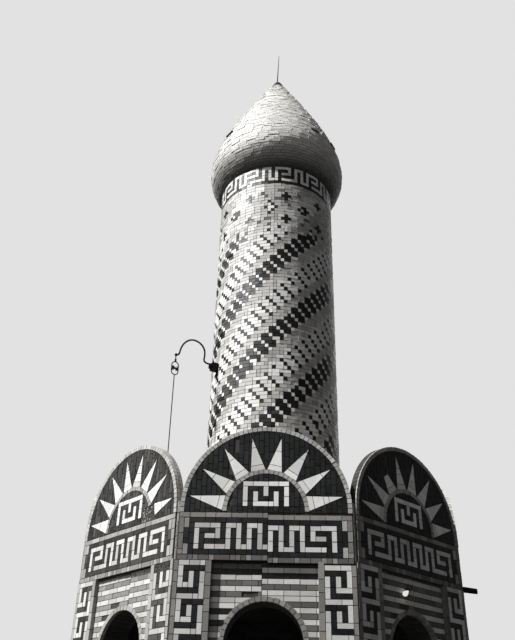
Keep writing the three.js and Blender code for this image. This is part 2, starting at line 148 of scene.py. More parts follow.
def clip_width(outline, half):
    """Keeps the part within half a width of the middle."""
    return clip(clip(outline, (1, 0), half), (-1, 0), half)


def clip_to_disc(outline, centre, radius):
    """Keeps the part inside a circle, cut along tangents."""
    for x, y in list(outline):
        away = math.hypot(x - centre[0], y - centre[1])
        if away > radius and outline:
            normal = ((x - centre[0]) / away, (y - centre[1]) / away)
            outline = clip(outline, normal, dot(normal, centre) + radius)
    return outline


def clip_off_disc(outline, centre, radius):
    """Keeps the part outside a circle, cut along the tangent that faces the outline."""
    middle = np.mean(outline, axis=0) - centre
    away = float(np.hypot(*middle))
    normal = -middle / away
    return clip(outline, normal, float(normal @ np.array(centre)) - radius)


def sound(outline):
    """True for an outline that is wide enough for a tile."""
    if len(outline) < 3:
        return False
    points = np.array(outline)
    after = np.roll(points, -1, axis=0)
    area = 0.5 * np.sum(points[:, 0] * after[:, 1] - after[:, 0] * points[:, 1])
    sides = np.hypot(*(after - points).T)
    return area > (GAP + 2 * BEVEL) * sides.sum() * 0.6 and sides.min() > 2 * BEVEL


def inset(outlines, distance):
    """Moves every side of the outlines inwards."""
    along = np.roll(outlines, -1, axis=1) - outlines
    along = along / np.linalg.norm(along, axis=2, keepdims=True)
    after = np.stack((-along[..., 1], along[..., 0]), axis=-1)
    before = np.roll(after, 1, axis=1)
    sharpness = np.maximum(1 + (after * before).sum(axis=2, keepdims=True), 0.12)
    return outlines + (after + before) * distance / sharpness


# Surfaces: each maps across, up and proud of the bed to a place in the frame
def turned(k, x, y, z):
    """Places given for the front face, turned to face k."""
    turn, lean = math.cos(k * TURN), math.sin(k * TURN)
    return np.stack((x * turn - y * lean, x * lean + y * turn, z), axis=-1)


def around(angle, radius, z):
    """Places at a bearing from the front and a distance from the tower's axis."""
    return np.stack((radius * np.sin(angle), -radius * np.cos(angle), z), axis=-1)


def on_face(k, apothem=APOTHEM, inward=False):
    side = -1 if inward else 1
    return lambda across, up, proud: turned(k, across * side, -apothem - proud * side, up)


def on_shaft(across, up, proud):
    return around(across / SHAFT_RADIUS, SHAFT_RADIUS + proud, up)


def on_floor(k):
    return lambda across, up, proud: turned(k, across, up, FLOOR + proud)


def mitred(k, apothem, inward=False):
    """A face's surface, kept clear of the planes in which it meets its neighbours."""
    place = on_face(k, apothem, inward)

    def held(across, up, proud):
        half = (apothem + proud) * MITRE - GAP / 2
        return place(np.clip(across, -half, half), up, proud)

    return held


def add_object(name, data):
    made = bpy.data.objects.new(name, data)
    bpy.context.scene.collection.objects.link(made)
    return made


def add_piece(name, slot, looks, points, faces, look_of_face=None):
    """A mesh piece that rides on the root body."""
    mesh = bpy.data.meshes.new(name)
    mesh.from_pydata(points, [], faces)
    for look in looks:
        mesh.materials.append(look)
    if look_of_face is not None:
        mesh.polygons.foreach_set("material_index", np.asarray(look_of_face, np.int32))
    mesh.update(calc_edges=True)
    mesh.validate()
    mesh.shade_flat()
    piece = add_object(name, mesh)
    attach(piece, "root")
    return piece


class Tiles:
    """Tiles laid on one or more surfaces and made into one mesh."""

    def __init__(self, name, slot, place=None, gap=GAP, bevel=BEVEL, uneven=0.0012):
        self.name, self.slot, self.place = name, slot, place
        self.gap, self.bevel, self.uneven = gap, bevel, uneven
        self.batches, self.looks = {}, []

    def lay(self, outline, look, proud=PROUD, back=-SINK):
        """Adds one tile, which reaches from back to proud of the bed."""
        if look not in self.looks:
            self.looks.append(look)
        if sound(outline):
            key = (len(outline), id(self.place))
            batch = self.batches.setdefault(key, (self.place, []))
            batch[1].append((outline, self.looks.index(look), proud, back))

    def paint_sunlit(self):
        """Swaps in lighter looks as painted sunlight on a sunlit face: the dark glaze greyed, the plain
        bricks one step paler.
        """
        sunlit_looks = {DARK.name: PAINTED_SUNLIT_DARK, DULL.name: GREY, GREY.name: PALE}
        self.looks = [sunlit_looks.get(look.name, look) for look in self.looks]

    def build(self):
        """Makes the mesh: each tile has a foot in the bed and a bevelled, slightly uneven front."""
        points, faces, tones, look_of_face = [], [], [], []
        count = 0
        for (corners, _), (place, tiles) in self.batches.items():
            outlines, looks, proud, back = zip(*tiles)
            foot = inset(np.array(outlines), self.gap / 2)
            face = inset(foot, self.bevel)
            proud = np.array(proud)[:, None] + rng.normal(0, self.uneven, (len(tiles), 1))
            front = proud + rng.normal(0, self.uneven / 3, (len(tiles), corners))
            behind = np.broadcast_to(np.array(back)[:, None], front.shape)
            behind = place(foot[..., 0], foot[..., 1], behind)
            front = place(face[..., 0], face[..., 1], front)
            points.append(np.concatenate((behind, front), axis=1).reshape(-1, 3))
            tones.append(np.repeat(rng.beta(2.2, 2.2, len(tiles)), 2 * corners))
            ring = np.arange(corners)
            after = np.roll(ring, -1)
            sides = np.stack((ring, after, after + corners, ring + corners), axis=1)
            for _ in tiles:
                for face in (*sides, ring[::-1], ring + corners):
                    faces.append((face + count).tolist())
                count += 2 * corners
            look_of_face.append(np.repeat(looks, corners + 2))
        points, look_of_face = np.concatenate(points), np.concatenate(look_of_face)
        piece = add_piece(self.name, self.slot, self.looks, points, faces, look_of_face)
        tone = piece.data.attributes.new("tone", "FLOAT", "POINT")
        tone.data.foreach_set("value", np.concatenate(tones).astype(np.float32))


# Materials
class Coat:
    """Builds one node material around a principled shader: a first colour, then its wear."""

    def __init__(self, name, roughness=0.5, specular=0.5):
        self.material = bpy.data.materials.new(name)
        self.material.use_nodes = True
        self.tree = self.material.node_tree
        self.shader = self.tree.nodes["Principled BSDF"]
        self.fill(self.shader, Roughness=roughness, Specular_IOR_Level=specular)
        self.place = self.node("TexCoord").outputs["Object"]

    def put(self, socket, value):
        if isinstance(value, bpy.types.NodeSocket):
            self.tree.links.new(value, socket)
        else:
            socket.default_value = value

    def fill(self, node, **inputs):
        for name, value in inputs.items():
            self.put(node.inputs[name.replace("_", " ")], value)

    def node(self, kind, **inputs):
        made = self.tree.nodes.new("ShaderNode" + kind)
        self.fill(made, **inputs)
        return made

    def noise(self, scale, detail=4.0, rough=0.55, stretch=None):
        place = self.place
        if stretch is not None:
            place = self.node("Mapping", Vector=place, Scale=stretch).outputs[0]
        made = self.node("TexNoise", Vector=place, Scale=scale, Detail=detail, Roughness=rough)
        return made.outputs["Fac"]

    def cells(self, scale, feature="F1"):
        made = self.node("TexVoronoi", Vector=self.place, Scale=scale)
        made.feature = feature
        return made.outputs["Distance"]

    def level(self):
        return self.node("SeparateXYZ", Vector=self.place).outputs["Z"]

    def tone(self):
        made = self.node("Attribute")
        made.attribute_name = "tone"
        return made.outputs["Fac"]

    def range(self, value, low, high, to_low, to_high):
        limits = dict(From_Min=low, From_Max=high, To_Min=to_low, To_Max=to_high)
        return self.node("MapRange", Value=value, **limits).outputs["Result"]

    def paint(self, factor, *stops):
        """Sets the first colour by a ramp. The stops are (place, colour)."""
        made = self.node("ValToRGB", Fac=factor)
        elements = made.color_ramp.elements
        while len(elements) < len(stops):
            elements.new(0.5)
        for element, (place, colour) in zip(elements, stops):
            element.position = place
            element.color = (*colour, 1.0)
        self.colour = made.outputs["Color"]

    def wear(self, value, low, high, to_low, to_high, worn):
        """Mixes a worn colour in, by a share that follows a value from low to high."""
        made = self.node("Mix")
        made.data_type = "RGBA"
        sockets = {socket.identifier: socket for socket in (*made.inputs, *made.outputs)}
        self.put(sockets["Factor_Float"], self.range(value, low, high, to_low, to_high))
        self.put(sockets["A_Color"], self.colour)
        self.put(sockets["B_Color"], (*worn, 1.0))
        self.colour = sockets["Result_Color"]

    def bump(self, *layers):
        """Adds relief. The layers are (height socket, relief in metres), the lowest first."""
        under = {}
        for height, relief in layers:
            made = self.node("Bump", Height=height, Distance=relief, Strength=1.0, **under)
            under = {"Normal": made.outputs["Normal"]}
        self.fill(self.shader, **under)

    def done(self, roughness=None):
        self.fill(self.shader, Base_Color=self.colour)
        if roughness is not None:
            self.fill(self.shader, Roughness=roughness)
        return self.material


def dim(colour, share):
    return tuple(share * part for part in colour)


def glaze(name, deep, middle, pale, dust, gloss=(0.46, 0.68), specular=0.4):
    """Glazed tile: tone from tile to tile, soft clouding, fine crazing and dust."""
    coat = Coat(name, specular=specular)
    coat.paint(coat.tone(), (0.1, deep), (0.5, middle), (0.92, pale))
    coat.wear(coat.noise(38.0, 5.0), 0.35, 0.75, 0.0, 0.35, deep)
    dust_and_painted_shade = coat.noise(2.4, 6.0, 0.62, stretch=(1.0, 1.0, 0.35))
    coat.wear(dust_and_painted_shade, 0.52, 0.8, 0.0, 0.55, dust)
    crazing = coat.cells(85.0, "DISTANCE_TO_EDGE")
    coat.wear(crazing, 0.0, 0.035, 0.22, 0.0, dim(deep, 0.45))
    coat.bump((coat.noise(14.0, 2.0), 0.0006), (coat.noise(240.0, 3.0), 0.00015))
    return coat.done(coat.range(coat.noise(14.0, 4.0), 0.3, 0.75, *gloss))


WET = (0.10, 0.095, 0.085)  # the colour of bricks where rain runs down


def brick(name, deep, middle, pale, relief=0.0022, stain=WET, dust_and_painted_shade=(), roughness=0.88, specular=0.3):
    """Fired brick: tone from brick to brick, sandy grain, pits and rain stains.

    Each band of painted shade is (level, level, colour): full at the first level, none above the second, so
    the brick darkens downwards.
    """
    coat = Coat(name, roughness, specular)
    coat.paint(coat.tone(), (0.08, deep), (0.5, middle), (0.94, pale))
    grain = coat.noise(170.0, 6.0, 0.7)
    coat.wear(grain, 0.35, 0.7, 0.0, 0.4, deep)
    pits = coat.cells(120.0)
    coat.wear(pits, 0.05, 0.2, 0.55, 0.0, dim(deep, 0.5))
    rain = coat.noise(3.1, 6.0, 0.65, stretch=(1.0, 1.0, 0.22))
    coat.wear(rain, 0.5, 0.78, 0.0, 0.5, stain)
    # painted shade: darkens the brick below the given levels
    for full, none, colour in dust_and_painted_shade:
        coat.wear(coat.level(), full, none, 0.86, 0.0, colour)
    coat.bump((coat.noise(45.0, 3.0), relief), (grain, relief * 0.6), (pits, 0.0006))
    return coat.done()


def mortar(name, deep, pale):
    """Lime and gypsum bed between the tiles."""
    coat = Coat(name, 0.95, 0.2)
    grain = coat.noise(90.0, 7.0, 0.7)
    coat.paint(grain, (0.3, deep), (0.7, pale))
    coat.wear(coat.noise(5.0, 5.0), 0.45, 0.7, 0.0, 0.5, deep)
    coat.bump((coat.noise(30.0, 4.0), 0.006), (grain, 0.002))
    return coat.done()


def render_coat(name, deep, pale, vault_painted_shade):
    """Trowelled earth and straw render on the roof, and the vault under it near black as painted shade."""
    coat = Coat(name, 0.93, 0.25)
    coat.paint(coat.noise(7.0, 8.0, 0.65), (0.32, deep), (0.68, pale))
    straw = coat.noise(60.0, 2.0, 0.4, stretch=(1.0, 0.16, 1.0))
    coat.wear(straw, 0.62, 0.7, 0.0, 0.35, pale)
    cracks = coat.cells(3.2, "DISTANCE_TO_EDGE")
    coat.wear(cracks, 0.0, 0.012, 0.6, 0.0, dim(deep, 0.4))
    # painted shade: below the roof's edge, on the vault inside, the render is near black
    coat.wear(coat.level(), ROOF_EDGE - 0.10, ROOF_EDGE - 0.06, 1.0, 0.0, vault_painted_shade)
    coat.bump((coat.noise(9.0, 6.0), 0.012), (coat.noise(120.0, 5.0), 0.002))
    return coat.done()


def stone(name, deep, pale):
    """Worn paving stone."""
    coat = Coat(name, 0.8, 0.35)
    coat.paint(coat.tone(), (0.1, deep), (0.9, pale))
    veins = coat.noise(16.0, 9.0, 0.7)
    coat.wear(veins, 0.4, 0.7, 0.0, 0.5, deep)
    coat.wear(coat.noise(310.0, 2.0), 0.58, 0.7, 0.0, 0.4, dim(deep, 0.5))
    coat.bump((coat.noise(12.0, 5.0), 0.004), (coat.noise(200.0, 4.0), 0.0008))
    return coat.done(coat.range(veins, 0.3, 0.7, 0.62, 0.9))


def iron(name, black, brown, rusty):
    """Blackened iron with rust coming through."""
    coat = Coat(name, specular=0.15)
    rust = coat.noise(55.0, 7.0, 0.65)
    coat.paint(rust, (0.38, black), (0.55, brown), (0.7, rusty))
    coat.bump((rust, 0.0012), (coat.noise(400.0, 3.0), 0.0003))
    return coat.done(coat.range(rust, 0.35, 0.7, 0.6, 0.85))


def porcelain(name, deep, pale, dusty):
    """Brown glazed porcelain with dust in its hollows."""
    coat = Coat(name, specular=0.6)
    coat.paint(coat.noise(30.0, 4.0), (0.35, deep), (0.7, pale))
    dust = coat.noise(12.0, 5.0)
    coat.wear(dust, 0.55, 0.75, 0.0, 0.45, dusty)
    coat.bump((coat.noise(80.0, 2.0), 0.0005))
    return coat.done(coat.range(dust, 0.4, 0.7, 0.14, 0.5))


def sheath(name, deep, pale):
    """Weathered rubber cable sheath."""
    coat = Coat(name, 0.75, 0.3)
    grain = coat.noise(260.0, 4.0)
    coat.paint(grain, (0.3, deep), (0.7, pale))
    coat.bump((grain, 0.0006))
    return coat.done()


def opal(name, clean, dusty):
    """Opal glass of a lamp bulb, with dust on its top, and a faint painted glow that stands in for the
    daylight it catches.
    """
    coat = Coat(name, specular=0.6)
    dust = coat.noise(45.0, 5.0)
    coat.paint(dust, (0.3, clean), (0.75, dusty))
    coat.bump((coat.noise(90.0, 2.0), 0.0002))
    # painted light: a faint glow stands in for the daylight on the bulb
    painted_glow = (1.0, 0.97, 0.9, 1.0)
    coat.fill(coat.shader, Subsurface_Weight=0.2, Emission_Color=painted_glow, Emission_Strength=0.7)
    return coat.done(coat.range(dust, 0.3, 0.7, 0.06, 0.3))


def pale_floor(name, deep, pale):
    """Plain pale studio floor."""
    coat = Coat(name, 0.8, 0.2)
    coat.paint(coat.noise(1.2, 3.0), (0.3, deep), (0.7, pale))
    return coat.done()


WHITE = glaze(
    "white_glaze", (0.58, 0.575, 0.555), (0.76, 0.755, 0.735), (0.86, 0.86, 0.845), (0.46, 0.44, 0.41)
)
CREAM = glaze(
    "cream_glaze", (0.46, 0.455, 0.44), (0.66, 0.655, 0.635), (0.77, 0.765, 0.75), (0.34, 0.325, 0.30)
)
IVORY = glaze(
    "ivory_glaze", (0.41, 0.405, 0.39), (0.58, 0.575, 0.555), (0.69, 0.685, 0.67), (0.30, 0.29, 0.265)
)
DARK = glaze(
    "dark_glaze", (0.004, 0.0044, 0.0048), (0.007, 0.0078, 0.0082), (0.015, 0.0165, 0.0172),
    (0.058, 0.056, 0.052), gloss=(0.30, 0.44), specular=0.42,
)
# A lighter copy of the dark glaze: painted sunlight on dark tiles that face the sun.
PAINTED_SUNLIT_DARK = glaze(
    "dusty_glaze", (0.018, 0.018, 0.0175), (0.034, 0.0335, 0.032), (0.075, 0.074, 0.070), (0.13, 0.126, 0.118)
)
GREY = brick("grey_brick", (0.15, 0.145, 0.135), (0.23, 0.222, 0.21), (0.33, 0.322, 0.305))
PALE = brick("pale_brick", (0.26, 0.25, 0.235), (0.36, 0.35, 0.335), (0.46, 0.45, 0.43))
RIM = brick("rim_brick", (0.31, 0.30, 0.285), (0.45, 0.44, 0.42), (0.58, 0.57, 0.55))
DULL = brick("dull_brick", (0.08, 0.077, 0.073), (0.125, 0.121, 0.115), (0.19, 0.184, 0.175))
SAND = brick(
    "shaft_brick", (0.34, 0.33, 0.315), (0.44, 0.43, 0.41), (0.56, 0.55, 0.53), roughness=0.56, specular=0.6
)
# Near-black brick: painted shade in the doorway's jambs and soffit and on the walls inside.
NEAR_BLACK = brick(
    "near_black_brick", (0.024, 0.023, 0.0215), (0.042, 0.040, 0.038), (0.070, 0.067, 0.063),
    stain=(0.016, 0.016, 0.015),
)
BUFF = brick(
    "cap_brick", (0.51, 0.50, 0.475), (0.63, 0.62, 0.595), (0.74, 0.73, 0.705),
    relief=0.003, stain=(0.31, 0.30, 0.28), roughness=0.64, specular=0.5,
    # painted shade under the bulb, darkest just above the shaft
    dust_and_painted_shade=(
        (SHAFT_TOP + 0.10, SHAFT_TOP + 0.46, (0.115, 0.111, 0.104)),
        (SHAFT_TOP + 0.02, SHAFT_TOP + 0.15, (0.016, 0.0155, 0.015)),
    ),
)
BED = mortar("tile_bed", (0.032, 0.031, 0.029), (0.085, 0.082, 0.076))
PALE_BED = mortar("brick_bed", (0.11, 0.106, 0.097), (0.22, 0.213, 0.20))
CAP_BED = mortar("cap_bed", (0.20, 0.195, 0.183), (0.36, 0.35, 0.333))
# near-black bed of the beams inside: painted shade
PAINTED_SHADE_BED = mortar("painted_shade_bed", (0.018, 0.0175, 0.0165), (0.042, 0.040, 0.038))
# its last colour is the painted shade of the vault inside
RENDER = render_coat("earth_render", (0.17, 0.16, 0.145), (0.29, 0.275, 0.25), (0.036, 0.035, 0.033))
STONE = stone("floor_stone", (0.24, 0.235, 0.225), (0.40, 0.39, 0.375))
IRON = iron("dark_iron", (0.008, 0.008, 0.008), (0.012, 0.011, 0.010), (0.030, 0.020, 0.016))
PORCELAIN = porcelain("brown_porcelain", (0.014, 0.011, 0.010), (0.035, 0.028, 0.024), (0.10, 0.095, 0.085))
SHEATH = sheath("cable_sheath", (0.012, 0.012, 0.012), (0.05, 0.048, 0.045))
OPAL = opal("lamp_glass", (0.86, 0.86, 0.83), (0.62, 0.61, 0.57))
STUDIO = pale_floor("studio_floor", (0.34, 0.34, 0.337), (0.365, 0.365, 0.362))

# The letters of the patterns, on the faces and on the shaft
LETTERS = {"#": IVORY, ".": DARK, "g": GREY, "p": PALE, "k": DULL}
SHAFT_LETTERS = {"#": WHITE, ".": DARK, "g": SAND, "p": CREAM, "k": DULL}

# Camera: the photograph's viewpoint, 1.6 m above the ground in front of the tower
EYE = Vector((0.3262, -10.9917, 1.600))
YAW = math.radians(-3.23)
PITCH = math.radians(30.88)
ROLL = math.radians(-1.57)
LENS = 41.94


def add_camera():
    forward = Vector((math.sin(YAW) * math.cos(PITCH), math.cos(YAW) * math.cos(PITCH), math.sin(PITCH)))
    level = Vector((math.cos(YAW), -math.sin(YAW), 0))
    upright = level.cross(forward)
    right = math.cos(ROLL) * level - math.sin(ROLL) * upright
    up = math.sin(ROLL) * level + math.cos(ROLL) * upright
    camera = add_object("camera", bpy.data.cameras.new("camera"))
    camera.data.lens = LENS
    camera.data.sensor_width = 36.0
    camera.data.clip_end = 200.0
    turn = Matrix((right, up, -forward)).transposed()
    camera.matrix_world = Matrix.Translation(EYE) @ turn.to_4x4()
    bpy.context.scene.camera = camera


# Each sun: name, direction it shines from, strength and spread in degrees
SUNS = (
    ("key", (-0.583, -0.272, 0.766), 7.3, 4.0),
    ("fill", (-0.55, -0.70, 0.45), 0.5, 60.0),
    ("back_fill", (0.15, 0.88, 0.45), 1.0, 60.0),
)
BACKDROP = (0.76, 0.76, 0.76, 1.0)
AMBIENT = (0.095, 0.095, 0.0969, 1.0)


def add_light():
    """A strong soft key from the left, broad fills and a pale backdrop."""
    for name, towards, strength, spread in SUNS:
        light = bpy.data.lights.new(name, "SUN")
        light.energy = strength
        light.angle = math.radians(spread)
        add_object(name, light).rotation_euler = Vector(towards).to_track_quat("Z", "Y").to_euler()
    world = bpy.data.worlds.new("backdrop")
    world.use_nodes = True
    tree = world.node_tree
    seen = tree.nodes["Background"]
    seen.inputs["Color"].default_value = BACKDROP
    lit = tree.nodes.new("ShaderNodeBackground")
    lit.inputs["Color"].default_value = AMBIENT
    path = tree.nodes.new("ShaderNodeLightPath")
    both = tree.nodes.new("ShaderNodeMixShader")
    sources = (path.outputs["Is Camera Ray"], lit.outputs[0], seen.outputs[0])
    for source, socket in zip(sources, both.inputs):
        tree.links.new(source, socket)
    tree.links.new(both.outputs[0], tree.nodes["World Output"].inputs["Surface"])
    bpy.context.scene.world = world
    bpy.context.scene.view_settings.view_transform = "Standard"


def add_floor():
    reach, sides = 150.0, 96
    mesh = bpy.data.meshes.new("studio_floor")
    corners = [(*polar((0, 0), reach, 2 * math.pi * i / sides), 0.0) for i in range(sides)]
    mesh.from_pydata(corners, [], [tuple(range(sides))])
    mesh.materials.append(STUDIO)
    floor = add_object("studio_floor", mesh)
    floor.visible_diffuse = False
    floor.visible_glossy = False


# Laying patterns
def run_length(cells, used, start, step, longest, seam=math.inf):
    """How many like, free cells follow one another from start along a step."""
    (r, c), (down, across) = start, step
    count = 1
    while count < longest:
        i, j = r + down * count, c + across * count
        if i >= len(cells) or j >= len(cells[0]) or (i, j) in used or cells[i][j] != cells[r][c]:
            break
        if (j < seam) != (c < seam):
            break
        count += 1
    return count


def lay_cells(tiles, name, rows, left, top, seam=math.inf, drop=0.0, half=math.inf, letters=LETTERS):
    """Lays a pattern written as rows of letters. Like cells join into longer bricks."""
    used = set()
    for r, row in enumerate(rows):
        for c, letter in enumerate(row):
            if (r, c) in used:
                continue
            longest = int(rng.integers(2, 4))
            across = run_length(rows, used, (r, c), (0, 1), longest, seam)
            down = run_length(rows, used, (r, c), (1, 0), longest, seam)
            wide, tall = (across, 1) if across >= down else (1, down)
            used.update((r + i, c + j) for i in range(tall) for j in range(wide))
            high = top - r * COURSE - (drop if c >= seam else 0.0)
            x = left + c * UNIT
            outline = clip_width(rect(x, high - tall * COURSE, x + wide * UNIT, high), half)
            if outline and not has_fallen(name, outline):
                tiles.lay(outline, letters[letter])


FRIEZE_HALF = (
    "#####.###.###",
    "#...#.#.#.#.#",
    "#.###.#.#.#.#",
    "#.....#.#.#.#",
    "#.#####.###.#",
)
FRIEZE_FRET = [row + middle + row[::-1] for row, middle in zip(FRIEZE_HALF, "....#")]
GABLE_FRET = (
    "#########",
    "#...#...#",
    "#.#.#.#.#",
    "#.#...#.#",
    "#.#####.#",
)
PIER_FRET = (
    "#####",
    "#....",
    "#.#.#",
    "#.#.#",
    "###.#",
    "....#",
)
BAND_FRET = [row[:10] for row in FRIEZE_HALF]

FRIEZE_COLUMNS = 33
PIER_ROWS = 47
FRIEZE_FOOT = "kkkgkkgkkkkgkgkkkkgkkkgkkkkgkgkkk"
FIELD_HEAD = {-1: ".k.#k#k##.#.g#", 1: ".#.#k##k#k#k#k"}  # left and right of the front's seam
FIELD_BODY = "k#"
FIELD_RISE = 0.6  # share of the first course that is hidden by the frieze

# Each face is laid in two halves that don't quite meet: the column of the frieze's seam and how
# far its right half drops, in courses, then where the wall's seam is, in units, and its drop
SEAMS = {
    "front": (17, 0.40, -0.5, 0.65),
    "front_right": (16, 0.05, 0.5, 0.05),
    "right": (17, 0.15, -1.0, 0.20),
    "back_right": (16, -0.10, 1.0, -0.20),
    "back": (17, 0.20, -0.5, 0.30),
    "back_left": (16, 0.10, 0.5, -0.15),
    "left": (17, -0.05, 1.0, 0.10),
    "front_left": (16, 0.05, 2.0, -0.30),
}

# Losses on the front left face: left, bottom, right and top in bricks, and the share lost
LOSSES = (
    ((10.8, -1.3, 16.2, 0.0), 1.0),
    ((10.8, -3.0, 16.2, -1.3), 0.6),
    ((4.6, 9.2, 9.8, 12.6), 1.0),
    ((9.5, 13.0, 14.0, 19.5), 0.08),
)
STRAY_LOSS = 0.004


def has_fallen(name, outline):
    """True for a tile that is missing from a face."""
    across, up = np.mean(outline, axis=0)
    x, row = across / UNIT, (up - FRIEZE_BOTTOM) / COURSE
    if name != "front_left":
        return name != "front_right" and rng.random() < STRAY_LOSS
    for (left, bottom, right, top), share in LOSSES:
        if left < x < right and bottom < row < top:
            return share == 1.0 or rng.random() < share
    return False


def lay_frieze(tiles, name):
    """A border of plain bricks, notched ends and the fret on a dark ground."""
    notched = "gp" + "." * (FRIEZE_COLUMNS - 4) + "pg"
    frets = ["g" + end + "." + fret + "." + end + "g" for end, fret in zip("p...p", FRIEZE_FRET)]
    rows = ["g" * FRIEZE_COLUMNS, notched, *frets, notched, FRIEZE_FOOT]
    seam, drop = SEAMS[name][:2]
    lay_cells(tiles, name, rows, -PANEL_HALF, FRIEZE_TOP, seam, drop * COURSE)


# Where broken tile and brick stick to the front left face: left, bottom, right, top
GABLE_WOUND = (4.7 * UNIT, FRIEZE_TOP + 0.02, 9.8 * UNIT, FRIEZE_TOP + 3.6 * COURSE)
PIER_WOUND = (11.0 * UNIT, FRIEZE_BOTTOM - 3.0 * COURSE, 16.0 * UNIT, FRIEZE_BOTTOM)

# Gables
RAYS = 8
RAY_STEP = math.pi / RAYS
RAY_CENTRE = (0.0, FRIEZE_BOTTOM + 9.25 * COURSE)
RAY_FOOT = 8.4 * UNIT
RAY_SPREAD = 0.92  # how much of its share of the small ring a ray's foot takes up
RAY_TIP = 15.3 * UNIT
INNER_DISC = 7.5 * UNIT
RING = 0.050
GROUND_RADIUS = PANEL_HALF - RING
FRET_TOP = FRIEZE_BOTTOM + 15.25 * COURSE
FRET_HALF = 4.5 * UNIT
RING_BLOCKS = 52
SMALL_RING_BLOCKS = 25
BROKEN_RAY = 5  # on the front right gable
BROKEN_AT = 0.52  # share of the broken ray that is left
BACK_BRICK = 3.2 * UNIT


def ray_corners(i):
    """The two feet and the tip of one ray of the sunburst."""
    middle, reach = (i + 0.5) * RAY_STEP, RAY_SPREAD * RAY_STEP / 2
    corners = ((RAY_FOOT, -reach), (RAY_FOOT, reach), (RAY_TIP, 0.0))
    return [polar(RAY_CENTRE, radius, middle + turn) for radius, turn in corners]


def ground_bricks(left, bottom, right, top):
    """Upright bricks, one unit wide, that fill a box."""
    columns = round((right - left) / UNIT)
    width = (right - left) / columns
    for c in range(columns):
        low = bottom - COURSE * (c * 1.3 % 3)
        while low < top:
            high = low + 3 * COURSE
            yield rect(left + c * width, max(low, bottom), left + (c + 1) * width, min(high, top))
            low = high


def ground_between_rays(brick, gap):
    """The part of a brick that lies between two rays, or between the last ray and the frieze."""
    outline = brick
    middle = polar(RAY_CENTRE, (RAY_FOOT + RAY_TIP) / 2, gap * RAY_STEP)
    beyond = math.dist(np.mean(brick, axis=0), RAY_CENTRE) > RAY_TIP
    for ray, foot in ((gap - 1, 1), (gap, 0)):
        if 0 <= ray < RAYS and outline:
            *feet, tip = ray_corners(ray)
            outline = clip_side(outline, RAY_CENTRE if beyond else feet[foot], tip, middle)
    if outline and min(math.dist(p, RAY_CENTRE) for p in outline) < RAY_FOOT:
        outline = clip_off_disc(outline, RAY_CENTRE, RAY_FOOT)
    if outline and max(p[1] for p in outline) > GABLE_SPRING:
        outline = clip_to_disc(outline, (0.0, GABLE_SPRING), GROUND_RADIUS)
    return outline


def gable_ground():
    """The dark ground between the rays, and inside the small ring."""
    top = GABLE_SPRING + GROUND_RADIUS
    bricks = list(ground_bricks(-GROUND_RADIUS, FRIEZE_TOP, GROUND_RADIUS, top))
    outlines = [ground_between_rays(brick, gap) for gap in range(RAYS + 1) for brick in bricks]
    low = FRET_TOP - len(GABLE_FRET) * COURSE
    boxes = (
        (-INNER_DISC, FRIEZE_TOP, INNER_DISC, low),
        (-INNER_DISC, low, -FRET_HALF, FRET_TOP),
        (FRET_HALF, low, INNER_DISC, FRET_TOP),
        (-FRET_HALF, FRET_TOP, FRET_HALF, RAY_CENTRE[1] + INNER_DISC),
    )
    for box in boxes:
        outlines += [clip_to_disc(brick, RAY_CENTRE, INNER_DISC) for brick in ground_bricks(*box)]
    return [outline for outline in outlines if outline]


def lay_ray(tiles, name, i, broken_at=1.0):
    """One white ray, cut into two to four tiles, up to the share where it is broken off."""
    foot, other, tip = (np.array(p) for p in ray_corners(i))
    cuts = [0.0, 0.16, float(rng.uniform(0.34, 0.5)), float(rng.uniform(0.58, 0.7)), 1.0]
    if rng.random() < 0.4:
        cuts.pop(2)
    for start, end in zip(cuts, cuts[1:]):
        end = min(end, broken_at)
        if start >= end:
            continue
        corners = ((foot, start), (foot, end), (other, end), (other, start))
        outline = [tuple(side + (tip - side) * share) for side, share in corners]
        if end == 1.0:
            outline.pop(2)
        if not has_fallen(name, outline):
            dull = start == 0.0 and rng.random() < 0.3
            tiles.lay(outline, CREAM if dull else WHITE, PROUD + 0.001)


def lay_gable(tiles, name, ground):
    for outline in ground:
        if not has_fallen(name, outline):
            tiles.lay(outline, DARK)
    for i in range(RAYS):
        broken = name == "front_right" and i == BROKEN_RAY
        lay_ray(tiles, name, i, BROKEN_AT if broken else 1.0)
    lay_cells(tiles, name, GABLE_FRET, -FRET_HALF, FRET_TOP, letters=SHAFT_LETTERS)
    for outline in ring_blocks(RAY_CENTRE, INNER_DISC, RAY_FOOT, SMALL_RING_BLOCKS):
        if not has_fallen(name, outline):
            tiles.lay(outline, PALE, RING_PROUD)


def lay_ring(tiles, layers, spring, inner, outer, blocks, foot, rows):
    """A half ring of blocks on straight sides. Each layer is (look, proud, back)."""
    tall = (spring - foot) / rows
    for layer in layers:
        for outline in ring_blocks((0.0, spring), inner, outer, blocks):
            tiles.lay(outline, *layer)
        for r in range(rows):
            for left, right in both_sides(inner, outer):
                tiles.lay(rect(left, foot + r * tall, right, foot + (r + 1) * tall), *layer)


def lay_gable_ring(tiles, name):
    """The ring of small bricks round a gable, two deep, which wraps the slab's edge."""
    # On the front right face the ring's front is a darker brick than on the other faces, painted shade, and
    # the slab's edge is near black.
    dark = name == "front_right"
    middle = (-0.05 if dark else -0.45) * GABLE_DEPTH
    layers = (
        (PALE if dark else RIM, RING_PROUD, middle + GAP / 2),
        (NEAR_BLACK if dark else GREY, middle - GAP / 2, -(GABLE_DEPTH + OVER)),
    )
    outer = PANEL_HALF + OVER
    lay_ring(tiles, layers, GABLE_SPRING, GROUND_RADIUS, outer, RING_BLOCKS, FRIEZE_TOP, 1)


